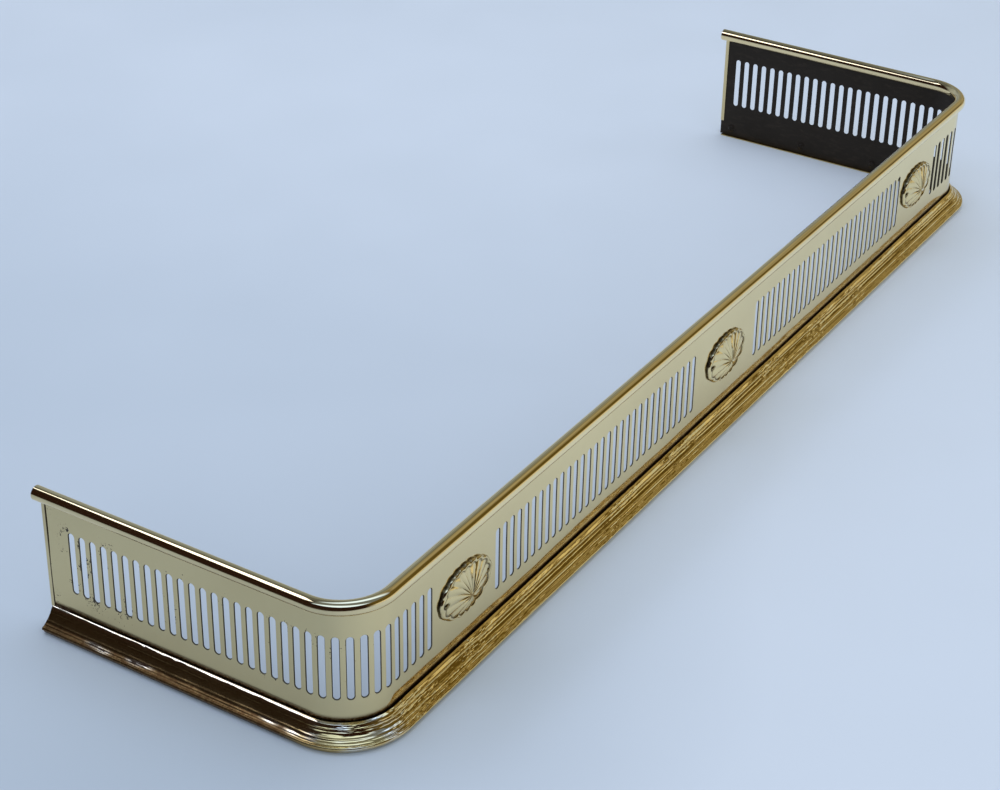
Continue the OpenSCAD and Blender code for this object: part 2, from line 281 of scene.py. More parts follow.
# Colours of painted shade: a default, the sheet's foot by the bead, the moulding's near return, the
# shell
SHADE_BROWN = (0.06, 0.04, 0.018, 1)
PANEL_FOOT_SHADE = (0.075, 0.034, 0.012, 1)
MOULDING_SHADE_BROWN = (0.12, 0.064, 0.025, 1)
SHELL_SHADE_BROWN = (0.05, 0.038, 0.022, 1)
PAINT_BLACK = (0.0115, 0.0088, 0.0065, 1)
PAINT_SHEEN = (1.0, 0.86, 0.72, 1)
WORN_STEEL = (0.3, 0.28, 0.25, 1)
MILL_STEEL = (0.36, 0.35, 0.33, 1)
RUSTY_STEEL = (0.16, 0.1, 0.06, 1)

# Floor colours: dim to bright is painted light that falls off to the left
BOARD_DIM = (0.37, 0.455, 0.555, 1)
BOARD_BRIGHT = (0.58, 0.665, 0.775, 1)
BOARD_LIT = (0.70, 0.815, 0.93, 1)
GROUND_PALE = (0.7, 0.7, 0.6, 1)
GROUND_DARK = (0.02, 0.012, 0.008, 1)

ROOM_DARK = (0.022, 0.011, 0.008, 1)
ROOM_CREAM = (0.74, 0.72, 0.58, 1)
ROOM_BROWN = (0.12, 0.088, 0.022, 1)
ROOM_OLIVE = (0.33, 0.30, 0.19, 1)
ROOM_GREY = (0.24, 0.28, 0.29, 1)
ROOM_BLUE = (0.37, 0.44, 0.52, 1)
ROOM_UPPER = (0.13, 0.15, 0.165, 1)
SKY_DIM = (0.17, 0.21, 0.26, 1)
SKY_BRIGHT = (1.05, 1.45, 2.3, 1)
SOFT_LIGHT = (0.79, 0.82, 0.87, 1)
BACKDROP = (0.62, 0.66, 0.72, 1)


# ---------- node helpers ----------

class Nodes:
    """A short way to write a node tree."""

    def __init__(self, tree):
        self.tree = tree

    def add(self, kind, settings=None, **inputs):
        """A new node, with its settings and inputs."""
        node = self.tree.nodes.new(kind)
        for key, value in (settings or {}).items():
            setattr(node, key, value)
        for key, value in inputs.items():
            self.feed(node, key, value)
        return node

    def feed(self, node, key, value):
        """Links or sets an input. i2 stands for the third input, From_Min for From Min."""
        place = int(key[1:]) if key[0] == "i" and key[1:].isdigit() else key.replace("_", " ")
        socket = node.inputs[place]
        if isinstance(value, bpy.types.NodeSocket):
            self.tree.links.new(value, socket)
        else:
            socket.default_value = value

    def math(self, operation, a, b=0.0):
        return self.add("ShaderNodeMath", {"operation": operation}, i0=a, i1=b).outputs[0]

    def scaled(self, vector, share):
        """A vector or colour times a number."""
        node = self.add("ShaderNodeVectorMath", {"operation": "SCALE"}, i0=vector, Scale=share)
        return node.outputs[0]

    def blend(self, factor, a, b):
        """A colour between a and b."""
        return self.add("ShaderNodeMix", {"data_type": "RGBA"}, i0=factor, i6=a, i7=b).outputs[2]

    def spread(self, value, low, high, to_low=0.0, to_high=1.0):
        """value from low..high onto to_low..to_high, held at the ends."""
        node = self.add(
            "ShaderNodeMapRange", {"clamp": True},
            Value=value, From_Min=low, From_Max=high, To_Min=to_low, To_Max=to_high,
        )
        return node.outputs[0]

    def noise(self, vector, scale, detail=3.0, roughness=0.5, distortion=0.0):
        node = self.add(
            "ShaderNodeTexNoise", None,
            Vector=vector, Scale=scale, Detail=detail, Roughness=roughness, Distortion=distortion,
        )
        return node.outputs[0]

    def position(self, stretch=(1.0, 1.0, 1.0)):
        """The surface point in metres, stretched per axis."""
        place = self.add("ShaderNodeTexCoord").outputs["Object"]
        return self.add("ShaderNodeMapping", None, Vector=place, Scale=stretch).outputs[0]

    def split(self, vector):
        """The X, Y and Z of a vector."""
        return self.add("ShaderNodeSeparateXYZ", None, Vector=vector).outputs

    def attribute(self, name, output="Fac"):
        """What the mesh's points carry under a name."""
        return self.add("ShaderNodeAttribute", {"attribute_name": name}).outputs[output]

    def mirrored(self):
        """1 for what polished metal reflects, 0 for what is seen directly or lit softly."""
        path = self.add("ShaderNodeLightPath").outputs
        sharp = self.math("LESS_THAN", path["Diffuse Depth"], 0.5)
        return self.math("MULTIPLY", path["Is Glossy Ray"], sharp)


def make_group(name, inputs, outputs):
    """A node group with named inputs, their default values, and outputs."""
    tree = bpy.data.node_groups.new(name, "ShaderNodeTree")
    kinds = {"value": "NodeSocketFloat", "colour": "NodeSocketColor", "vector": "NodeSocketVector"}
    for label, (kind, value) in inputs.items():
        socket = tree.interface.new_socket(name=label, in_out="INPUT", socket_type=kinds[kind])
        socket.default_value = value
    for label, kind in outputs.items():
        tree.interface.new_socket(name=label, in_out="OUTPUT", socket_type=kinds[kind])
    nodes = Nodes(tree)
    source = tree.nodes.new("NodeGroupInput").outputs
    sink = tree.nodes.new("NodeGroupOutput")
    return tree, nodes, source, sink


def smudged_polish_group():
    """Polished metal that hands have dulled: roughness that drifts and streaks."""
    tree, nodes, source, sink = make_group(
        "smudged_polish",
        {"Bright": ("value", 0.05), "Dull": ("value", 0.2), "Size": ("value", 14.0)},
        {"Roughness": "value"},
    )
    cloud = nodes.noise(nodes.position(), source["Size"], detail=5.0, roughness=0.6, distortion=0.4)
    streak = nodes.noise(nodes.position((1.0, 1.0, 5.0)), 160.0, detail=2.0)
    smudge = nodes.spread(nodes.math("MULTIPLY", cloud, nodes.math("ADD", streak, 0.5)), 0.3, 0.85)
    drift = nodes.math("SUBTRACT", source["Dull"], source["Bright"])
    rough = nodes.math("ADD", source["Bright"], nodes.math("MULTIPLY", smudge, drift))
    tree.links.new(rough, sink.inputs["Roughness"])
    return tree


def tarnish_group():
    """Brass colour that drifts from bright to brown, with dark specks where asked."""
    tree, nodes, source, sink = make_group(
        "tarnish",
        {
            "Clean": ("colour", CLEAN_BRASS),
            "Brown": ("colour", BROWN_BRASS),
            "Drift": ("value", 0.3),
            "Specks": ("value", 0.0),
        },
        {"Color": "colour", "Speck": "value"},
    )
    place = nodes.position()
    cloud = nodes.spread(nodes.noise(place, 9.0, detail=6.0, roughness=0.62), 0.42, 0.72)
    toned = nodes.blend(nodes.math("MULTIPLY", cloud, source["Drift"]), source["Clean"], source["Brown"])
    dots = nodes.noise(place, 420.0, detail=2.0, roughness=0.7)
    patches = nodes.noise(place, 38.0, detail=3.0, roughness=0.6)
    crowd = nodes.math("MULTIPLY", nodes.spread(patches, 0.5, 0.62), source["Specks"])
    level = nodes.math("SUBTRACT", 0.82, nodes.math("MULTIPLY", crowd, 0.35))
    speck = nodes.spread(nodes.math("SUBTRACT", dots, level), 0.0, 0.03)
    tree.links.new(nodes.blend(speck, toned, SPECK_BROWN), sink.inputs["Color"])
    tree.links.new(speck, sink.inputs["Speck"])
    return tree


def ripple_group():
    """Soft ripples and fine scratches, as a height in metres."""
    tree, nodes, source, sink = make_group(
        "ripple",
        {"Wave": ("value", 0.0002), "Wave size": ("value", 12.0), "Scratch": ("value", 0.000004)},
        {"Height": "value"},
    )
    wave = nodes.noise(nodes.position(), source["Wave size"], detail=2.0, roughness=0.4)
    scratch = nodes.noise(nodes.position((0.25, 0.25, 1.0)), 900.0, detail=2.0, roughness=0.7)
    height = nodes.math(
        "ADD",
        nodes.math("MULTIPLY", wave, source["Wave"]),
        nodes.math("MULTIPLY", scratch, source["Scratch"]),
    )
    tree.links.new(height, sink.inputs["Height"])
    return tree


def dinged_group():
    """Many small dings that run along the metal, as a height in metres. Run is (along, out, up)."""
    tree, nodes, source, sink = make_group(
        "dinged",
        {"Run": ("vector", (0, 0, 0)), "Depth": ("value", 0.0002), "Length": ("value", 0.01)},
        {"Height": "value"},
    )
    per_length = nodes.math("DIVIDE", 1.0, source["Length"])
    per_width = 260.0
    stretch = nodes.add("ShaderNodeCombineXYZ", None, X=per_length, Y=per_width, Z=per_width).outputs[0]
    place = nodes.add("ShaderNodeVectorMath", {"operation": "MULTIPLY"}, i0=source["Run"], i1=stretch)
    ding = nodes.noise(place.outputs[0], 1.0, detail=2.0, roughness=0.55)
    tree.links.new(nodes.math("MULTIPLY", ding, source["Depth"]), sink.inputs["Height"])
    return tree


def painted_light_group():
    """Painted light: a colour laid where a mask says, broken up, on top of a colour and a roughness."""
    tree, nodes, source, sink = make_group(
        "film",
        {
            "Mask": ("value", 0.0),
            "Color": ("colour", CLEAN_BRASS),
            "Film": ("colour", SHADE_BROWN),
            "Roughness": ("value", 0.1),
            "Break up": ("value", 0.45),
        },
        {"Color": "colour", "Roughness": "value"},
    )
    patch = nodes.spread(nodes.noise(nodes.position(), 300.0, detail=4.0), 0.3, 0.6)
    kept = nodes.math("SUBTRACT", 1.0, source["Break up"])
    share = nodes.math("ADD", kept, nodes.math("MULTIPLY", patch, source["Break up"]))
    laid = nodes.math("MULTIPLY", source["Mask"], share)
    tree.links.new(nodes.blend(laid, source["Color"], source["Film"]), sink.inputs["Color"])
    rough = nodes.math("ADD", source["Roughness"], nodes.math("MULTIPLY", laid, 0.25))
    tree.links.new(rough, sink.inputs["Roughness"])
    return tree


SMUDGED_POLISH = smudged_polish_group()
DINGED = dinged_group()
PAINTED_LIGHT = painted_light_group()
TARNISH = tarnish_group()
RIPPLE = ripple_group()


def use_group(nodes, tree, **inputs):
    """Adds a shared group with values of its own, and gives its outputs."""
    node = nodes.add("ShaderNodeGroup", {"node_tree": tree}, **inputs)
    return node.outputs


def new_material(name):
    """A material with its Principled shader, ready for nodes."""
    material = bpy.data.materials.new(name)
    material.use_nodes = True
    shader = material.node_tree.nodes["Principled BSDF"]
    return material, Nodes(material.node_tree), shader


def brass(
    name, clean, drift, bright, dull, wave, wave_size, brown=BROWN_BRASS, specks=None,
    dark_mask=None, dark_below=None, film=SHADE_BROWN, break_up=0.45, painted_highlight_mask=None,
    ding_depth=None, ding_length=None,
):
    """
    Polished brass. Its colour drifts from clean to brown, and its roughness from bright to dull,
    over ripples that are wave metres high. specks, dark_mask and the highlight mask name what the
    mesh's points carry: how speckled the brass is, how much painted shade darkens it, and how much
    painted highlight makes it pale. The painted shade may lie below a height instead. Dings have a
    depth and a length in metres, and the points carry how deep they are as worn.
    """
    material, nodes, shader = new_material(name)
    crowd = nodes.attribute(specks) if specks else 0.0
    tone = use_group(nodes, TARNISH, Clean=clean, Brown=brown, Drift=drift, Specks=crowd)
    polish = use_group(nodes, SMUDGED_POLISH, Bright=bright, Dull=dull)
    height = use_group(nodes, RIPPLE, Wave=wave, Wave_size=wave_size)["Height"]
    colour = tone["Color"]
    rough = nodes.math("ADD", polish["Roughness"], nodes.math("MULTIPLY", tone["Speck"], 0.4))
    metal = nodes.math("SUBTRACT", 1.0, nodes.math("MULTIPLY", tone["Speck"], 0.7))
    # Painted shade, laid from a mask of the mesh's points or below a height
    dark = None
    if dark_mask:
        dark = nodes.attribute(dark_mask)
    elif dark_below:
        up = nodes.split(nodes.position())["Z"]
        dark = nodes.math("POWER", nodes.spread(up, dark_below + 4 * MM, dark_below), 1.5)
    if dark:
        laid = use_group(
            nodes, PAINTED_LIGHT, Mask=dark, Color=colour, Roughness=rough, Film=film, Break_up=break_up,
        )
        colour, rough = laid["Color"], laid["Roughness"]
    # Painted highlight: pale colour laid where the mesh's points say
    if painted_highlight_mask:
        wear_and_highlight = nodes.attribute(painted_highlight_mask)
        colour = use_group(nodes, PAINTED_LIGHT, Mask=wear_and_highlight, Color=colour, Film=PALE_HIGHLIGHT)["Color"]
    if ding_depth:
        run = nodes.attribute("run", "Vector")
        depth = nodes.math("MULTIPLY", nodes.attribute("worn"), ding_depth)
        dings = use_group(nodes, DINGED, Run=run, Depth=depth, Length=ding_length)
        height = nodes.math("ADD", height, dings["Height"])
    bump = nodes.add("ShaderNodeBump", None, Strength=1.0, Distance=1.0, Height=height)
    nodes.feed(shader, "Base_Color", colour)
    nodes.feed(shader, "Metallic", metal)
    nodes.feed(shader, "Roughness", rough)
    nodes.feed(shader, "Normal", bump.outputs[0])
    return material


def painted(name, worn, bright, dull, chips):
    """
    Satin black paint with dusty scuffs. Its roughness drifts from bright to dull, and above a noise
    level of chips, the worn colour shows under it.
    """
    material, nodes, shader = new_material(name)
    place = nodes.position()
    polish = use_group(nodes, SMUDGED_POLISH, Bright=bright, Dull=dull, Size=26.0)
    rubbing = nodes.noise(nodes.position((1.0, 1.0, 3.0)), 70.0, detail=6.0, roughness=0.7)
    scuff = nodes.spread(rubbing, 0.5, 0.8)
    flake = nodes.spread(nodes.noise(place, 240.0, detail=5.0, roughness=0.7), chips, chips + 0.02)
    dust = tuple(3.5 * part for part in PAINT_BLACK[:3]) + (1,)
    dusty = nodes.blend(nodes.math("MULTIPLY", scuff, 0.6), PAINT_BLACK, dust)
    grit = nodes.math("MULTIPLY", nodes.noise(place, 1400.0, detail=2.0), 0.02 * MM)
    bump = nodes.add("ShaderNodeBump", None, Strength=0.6, Distance=1.0, Height=grit)
    nodes.feed(shader, "Base_Color", nodes.blend(flake, dusty, worn))
    nodes.feed(shader, "Metallic", flake)
    nodes.feed(shader, "Specular_IOR_Level", 0.28)
    nodes.feed(shader, "Specular_Tint", PAINT_SHEEN)
    nodes.feed(shader, "Roughness", polish["Roughness"])
    nodes.feed(shader, "Normal", bump.outputs[0])
    return material


def plain_steel(name):
    """Mill-finished steel with rusty spots, for the hidden clips."""
    material, nodes, shader = new_material(name)
    polish = use_group(nodes, SMUDGED_POLISH, Bright=0.25, Dull=0.5, Size=60.0)
    spots = nodes.spread(nodes.noise(nodes.position(), 130.0, detail=5.0, roughness=0.65), 0.55, 0.75)
    nodes.feed(shader, "Base_Color", nodes.blend(spots, MILL_STEEL, RUSTY_STEEL))
    nodes.feed(shader, "Metallic", nodes.spread(spots, 0.0, 1.0, 1.0, 0.4))
    nodes.feed(shader, "Roughness", polish["Roughness"])
    return material


# The sheet darkens towards its foot, from 28 mm down to 24 mm: painted shade of the crevice by the bead
panel_face = brass(
    "panel_face", CLEAN_BRASS, drift=0.12, bright=0.035, dull=0.1, wave=0.4 * MM, wave_size=6.0,
    specks="speckled", dark_below=24 * MM, film=PANEL_FOOT_SHADE, break_up=0.2,
)
panel_back = painted("panel_back", BROWN_BRASS, bright=0.35, dull=0.6, chips=0.76)
# Dark cut edges: on the slot walls partly paint and oxide, partly painted shade; on the edging strips a
# painted shadow line
oxide_and_shade_edge = brass(
    "oxide_and_shade_edge", CUT_BRASS, drift=0.8, bright=0.3, dull=0.5, wave=0.1 * MM, wave_size=60.0,
    brown=CUT_GRIME_AND_SHADE,
)
rail_brass = brass(
    "rail_brass", RAIL_BRASS, drift=0.15, bright=0.03, dull=0.09, wave=0.3 * MM, wave_size=8.0,
)
# The dulled mask lays painted shade, much on the near return's cove and little on the front; the pale
# mask lays painted highlight
moulding_brass = brass(
    "moulding_brass", GOLD_BRASS, drift=0.2, bright=0.03, dull=0.09, wave=0.9 * MM, wave_size=30.0,
    dark_mask="dulled", film=MOULDING_SHADE_BROWN, break_up=0.12, painted_highlight_mask="pale",
    ding_depth=1.8 * MM, ding_length=16 * MM,
)
edging_brass = brass(
    "edging_brass", CLEAN_BRASS, drift=0.3, bright=0.08, dull=0.25, wave=0.2 * MM, wave_size=30.0,
)
shell_brass = brass(
    "shell_brass", CLEAN_BRASS, drift=0.15, bright=0.06, dull=0.2, wave=0.3 * MM, wave_size=60.0,
    dark_mask="furrow", film=SHELL_SHADE_BROWN, break_up=0.25,
)
pin_brass = brass(
    "pin_brass", PIN_BRASS, drift=0.3, bright=0.08, dull=0.2, wave=0.1 * MM, wave_size=60.0,
)
screw_paint = painted("screw_paint", WORN_STEEL, bright=0.3, dull=0.5, chips=0.68)
clip_steel = plain_steel("clip_steel")


# ---------- pierced panel ----------

SLOW_WARP = 0.9 * MM
QUICK_WARP = 0.12 * MM
HELD_BY_SHELL = 60 * MM
SPECKS_BESIDE_SLOT = 5 * MM
SPECKS_PAST_SLOT = 9 * MM
SPECKS_FROM_END = 90 * MM
EXTRA_SPECKS_FROM_END = 60 * MM
PLAIN_STEP = 5 * MM
ROUND_STEPS = 6
SAME_PLACE = 0.01 * MM


def panel_warp(s, z):
    """How far the thin sheet stands out of true, held at its top, foot and ornaments."""
    gap = min(abs(s - place) for place in SHELL_PLACES.values())
    free = 1 - math.exp(-((gap / HELD_BY_SHELL) ** 4))
    held = math.sin(math.pi * ramp(z, PANEL_FOOT_Z, PANEL_TOP_Z)) * free
    slow = noise.noise(Vector((s * 6, z * 9, 3.1)))
    quick = noise.noise(Vector((s * 30, z * 26, 8.7)))
    return held * (slow * SLOW_WARP + quick * QUICK_WARP)


def speckle_at(s, z):
    """How much the brass is speckled: most near the left end, and close to the slots."""
    beside = max(min(abs(s - place) for place in SLOTS) - SLOT_R, 0)
    past_end = max(SLOT_Z - z, z - SLOT_TOP_Z, 0)
    close = math.exp(-beside / SPECKS_BESIDE_SLOT - past_end / SPECKS_PAST_SLOT)
    if s > RETURN_LEN + ARC_LEN:
        share = 0.3
    else:
        share = 0.5 + 0.5 * math.exp(-s / SPECKS_FROM_END)
    near_end = 0.4 * math.exp(-s / EXTRA_SPECKS_FROM_END)
    return min(1, (0.25 + near_end + 0.9 * close) * share)


def panel_lines():
    """Lengths along the path where the sheet's mesh has an upright line, with the slots' own."""
    lines = []
    for s in SLOTS:
        lines += [s - SLOT_R, s, s + SLOT_R]
    plain = [0.0, SLOTS[0] - SLOT_R]
    for a, b in zip(SLOTS, SLOTS[1:]):
        if b - a < SLOT_PITCH * 1.5:
            lines.append((a + b) / 2)
        else:
            plain += [a + SLOT_R, b - SLOT_R]
    plain += [SLOTS[-1] + SLOT_R, PATH_LEN]
    for a, b in zip(plain[::2], plain[1::2]):
        lines += steps(a, b, round((b - a) / PLAIN_STEP))
    lines = sorted(lines)
    return [s for k, s in enumerate(lines) if k == 0 or s - lines[k - 1] > SAME_PLACE]


def nearest_slot(s):
    return min(SLOTS, key=lambda middle: abs(middle - s))


def pierced_skin(bm):
    """Builds the sheet's outer skin round its slots, and gives each point's length and height."""
    corners = {}

    def point(s, z):
        key = (round(s / MM, 3), round(z / MM, 3))
        if key not in corners:
            corners[key] = bm.verts.new(on_path(s, panel_warp(s, z), z))
        return corners[key]

    def beside_round(slot, side, level, edge):
        """Fills the corner between a slot's round end and the next line and row."""
        curve = []
        for angle in steps(0, math.pi / 2, ROUND_STEPS):
            along = slot + (side - slot) * math.cos(angle)
            curve.append(point(along, level + (edge - level) * math.sin(angle)))
        corner = point(side, edge)
        for one, two in zip(curve, curve[1:]):
            bm.faces.new((corner, one, two))

    lines = panel_lines()
    rows = steps(PANEL_FOOT_Z, SLOT_Z, 6) + steps(LOW_ROUND_Z, HIGH_ROUND_Z, 8)
    rows += steps(SLOT_TOP_Z, PANEL_TOP_Z, 5)
    for a, b in zip(lines, lines[1:]):
        slot = nearest_slot((a + b) / 2)
        pierced = abs((a + b) / 2 - slot) < SLOT_R
        side = a if abs(a - slot) > abs(b - slot) else b
        for low, high in zip(rows, rows[1:]):
            middle = (low + high) / 2
            if not pierced or middle < SLOT_Z or middle > SLOT_TOP_Z:
                bm.faces.new((point(a, low), point(b, low), point(b, high), point(a, high)))
            elif middle < LOW_ROUND_Z:
                beside_round(slot, side, LOW_ROUND_Z, SLOT_Z)
            elif middle > HIGH_ROUND_Z:
                beside_round(slot, side, HIGH_ROUND_Z, SLOT_TOP_Z)
    return {vert: (s * MM, z * MM) for (s, z), vert in corners.items()}


def slot_roll(s, z):
    """The way out of the slot that a point is at, as long as its rim is rolled, or else None."""
    slot = nearest_slot(s)
    if abs(s - slot) > SLOT_R + SAME_PLACE or z < SLOT_Z - MM or z > SLOT_TOP_Z + MM:
        return None
    level = min(max(z, LOW_ROUND_Z), HIGH_ROUND_Z)
    return Vector((s - slot, z - level)).normalized() * SLOT_ROLL


def build_panel():
    """The pierced sheet. Slots are a little wider outside than inside, as their rims are rolled."""
    bm = bmesh.new()
    speckled = bm.verts.layers.float.new("speckled")
    places = pierced_skin(bm)
    bmesh.ops.recalc_face_normals(bm, faces=bm.faces)
    outer_faces = list(bm.faces)
    rim = [edge for edge in bm.edges if len(edge.link_faces) == 1]
    on_rim = {vert for edge in rim for vert in edge.verts}
    inner = {}
    for vert, (s, z) in places.items():
        vert[speckled] = speckle_at(s, z)
        roll = slot_roll(s, z) if vert in on_rim else None
        if roll:
            warp = panel_warp(s - roll.x, z - roll.y)
            vert.co = on_path(s + roll.x, warp, z + roll.y)
            s, z = s - roll.x, z - roll.y
        inner[vert] = bm.verts.new(on_path(s, panel_warp(s, z) - PANEL_T, z))
    for face in outer_faces:
        back = bm.faces.new([inner[v] for v in reversed(face.verts)])
        back.material_index = 1
    for edge in rim:
        one, two = edge.verts
        # Slot walls take the dark edge: partly paint and oxide, partly painted shade
        wall = bm.faces.new((one, two, inner[two], inner[one]))
        wall.material_index = 2
    mesh = finish_mesh(bm, "panel_sheet", 40)
    add_piece("panel_sheet", mesh, (panel_face, panel_back, oxide_and_shade_edge), ("panel",))


# ---------- edging strips ----------

EDGING_W = 5 * MM
EDGING_T = 0.6 * MM
EDGING_FIT = 0.1 * MM
EDGING_LIP = 0.7 * MM
EDGING_WAVE = 0.12 * MM


def edging_section():
    """A strip folded over the sheet's end, as (past the sheet's end, out) points."""
    face = EDGING_FIT + EDGING_T
    back = -PANEL_T - face
    cut = face - EDGING_W
    turn = (face - back) / 2
    nose = (face - turn, (face + back) / 2)
    outer = [(cut, face), (cut + EDGING_LIP, face)] + arc(nose, turn, 90, -90, 14) + [(cut, back)]
    bore = [(cut, back + EDGING_T)]
    bore += arc(nose, turn - EDGING_T, -90, 90, 8) + [(cut, face - EDGING_T)]
    return outer + bore


def build_edging(side, s_end, onward):
    """One strip, with the wave that years of polishing leave. Its lip and cut edge are a painted shadow
    line.
    """
    name = side + "_edge_strip"
    low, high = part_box(side + "_edging")
    section = edging_section()
    bm = bmesh.new()
    rings = []
    for z in steps(low.z, high.z, 36):
        ring = []
        for past, out in section:
            wave = noise.noise(Vector((z * 60, out * 200, s_end * 3))) * EDGING_WAVE
            ring.append(bm.verts.new(on_path(s_end - onward * past, out + wave, z)))
        rings.append(ring)
    # The lip and cut edge faces take the dark edge: a painted shadow line
    for i, face in enumerate(skin_rings(bm, rings)):
        face.material_index = 1 if i % len(section) in (0, len(section) - 1) else 0
    cap_ends(bm, rings[0], rings[-1])
    mesh = finish_mesh(bm, name, 50)
    add_piece(name, mesh, (edging_brass, oxide_and_shade_edge), (side + "_edging",))


# ---------- top rail ----------

RAIL_PRESS = 0.16 * MM
RAIL_DING = 0.05 * MM


def build_rail():
    """The tube, split along its foot, where it grips the sheet."""
    middle = (-PANEL_T / 2, RAIL_Z)
    half_slit = math.degrees(math.asin((PANEL_T / 2 + RAIL_SLIT_FIT) / (RAIL_D / 2)))
    outer = arc(middle, RAIL_D / 2, -90 + half_slit, 270 - half_slit, 56)
    bore = arc(middle, RAIL_D / 2 - RAIL_WALL, 270 - half_slit, -90 + half_slit, 28)
    start = -RAIL_PAST_END

    def dent(s, k, out, z):
        press = noise.noise(Vector((s * 9, z * 30, 1.7))) * RAIL_PRESS
        ding = noise.noise(Vector((s * 45, out * 60, z * 60))) * RAIL_DING
        away = Vector((out - middle[0], z - middle[1])).normalized()
        return away * (press + ding)

    places = stations(start, PATH_LEN - start, 7 * MM, 2 * MM)
    mesh = sweep("rail_tube", outer + bore, places, dent, 50)
    add_piece("rail_tube", mesh, (rail_brass,), ("top_rail",))


# ---------- base moulding ----------

# Painted glints on the near cove, pale spots in its painted shade: length along the path and height, in
# mm
PAINTED_GLINTS = (
    (63, 8.5), (74, 7.8), (111, 8.6), (122, 9.4), (264, 9.4), (291, 8.4), (331, 9.2), (350, 8.2),
)
PAINTED_GLINT_LEN = 6 * MM
PAINTED_GLINT_H = 0.9 * MM
NEAR_CORNER_LEN = 38 * MM
WORN_REEDS = 0.25
FLAT_FOOT_Z = 1.5 * MM
DENT_FADE = 8 * MM
SLOW_DENT = 0.56 * MM
QUICK_DENT = 0.35 * MM


def cove_line(count, reeded):
    """The cove, an arc from its top to its foot. reeded is 1 for full reeds, less for worn ones."""
    top, foot = Vector(COVE_TOP), Vector(COVE_FOOT)
    chord = foot - top
    sag = math.sqrt(COVE_R ** 2 - chord.length ** 2 / 4)
    centre = (top + foot) / 2 + Vector((-chord.y, chord.x)).normalized() * sag
    points = []
    for share in steps(0, 1, count):
        away = top + chord * share - centre
        length = COVE_R
        for middle, rise, reach in (UPPER_REED, LOWER_REED) + WORN_LINES:
            gap = abs(share - middle) * chord.length
            if gap < reach:
                length -= reeded * rise * (1 + math.cos(math.pi * gap / reach)) / 2
        points.append(tuple(centre + away.normalized() * length))
    return points


def moulding_line(reeded):
    """The moulding's outer face, from inside the bead down to the edge of the foot."""
    lip_z = COVE_FOOT[1] - LIP_R
    lip_middle = (LIP_OUT, lip_z)
    bead = arc(BEAD_CURL, BEAD_CURL_R, 280, 69, 20)
    bead += arc(BEAD_CROWN, BEAD_CROWN_R, 67, 57, 4)
    bead += arc(BEAD_NOSE, BEAD_NOSE_R, 55, 28, 5)
    cove = [point for point in cove_line(60, reeded) if math.dist(point, lip_middle) > LIP_R]
    lip_start = math.degrees(math.atan2(cove[-1][1] - lip_z, cove[-1][0] - LIP_OUT)) - 6
    lip = arc(lip_middle, LIP_R, lip_start, -66, 20)
    lean = (BAND_OUT - BAND_FOOT_OUT) / (lip_z - LIP_R)
    band = [(BAND_FOOT_OUT + lean * z * MM, z * MM) for z in (2.6, 2.0, 1.4)]
    fold = arc((BAND_FOOT_OUT - 0.6 * MM, FOLD_R), FOLD_R, 0, -90, 5)
    foot = [(out * MM, 0.0) for out in (12, 7, 2)] + [(-PANEL_T - FOOT_IN, 0.0)]
    return bead + cove + lip + band + fold + foot


def on_near_return(s):
    """1 on the near return, falling to 0 just before the corner ends."""
    return 1 - ramp(s, RETURN_LEN - 20 * MM, RETURN_LEN + 40 * MM)


def on_near_corner(s):
    """1 round most of the near corner, falling to 0 beyond it."""
    return math.exp(-((s - RETURN_LEN - ARC_LEN * 0.45) / NEAR_CORNER_LEN) ** 4)


def painted_glint(s, z):
    """1 in the middle of a painted glint on the near return's cove, 0 off it."""
    most = 0
    for glint_s, glint_z in PAINTED_GLINTS:
        away = ((s - glint_s * MM) / PAINTED_GLINT_LEN) ** 2 + ((z - glint_z * MM) / PAINTED_GLINT_H) ** 2
        most = max(most, min(1, 1.3 * math.exp(-away)))
    return most


def moulding_shade_at(s, z):
    """Painted shade below the bead: much on the near return's cove, more low down, little on the front.
    """
    below_bead = ramp(z, BEAD_Z, BEAD_Z - 2 * MM)
    low = ramp(z, 13 * MM, 10 * MM)
    near = on_near_return(s) * (0.72 + 0.28 * low) * (1 - painted_glint(s, z))
    return below_bead * max(0.08, near)


def worn_at(s, z):
    """How deep the small dings are: patchy, shallow on the near return and round its corner."""
    patch = noise.noise(Vector((s * 18, z * 90, 5.5)))
    smooth = (1 - 0.85 * on_near_return(s)) * (1 - 0.5 * on_near_corner(s))
    return min(max(0.5 + 1.3 * patch, 0.15), 1) * smooth


def painted_highlight_at(s, z):
    """Pale colour painted as highlight on the near bead and glints, as reflection round the near corner.
    """
    near = on_near_return(s)
    crown = ramp(z, 20 * MM, 20.6 * MM)
    patch = ramp(noise.noise(Vector((s * 45, z * 110, 2.2))), -0.12, 0.28)
    return max(0.75 * near * crown, near * painted_glint(s, z), 0.8 * on_near_corner(s) * patch)


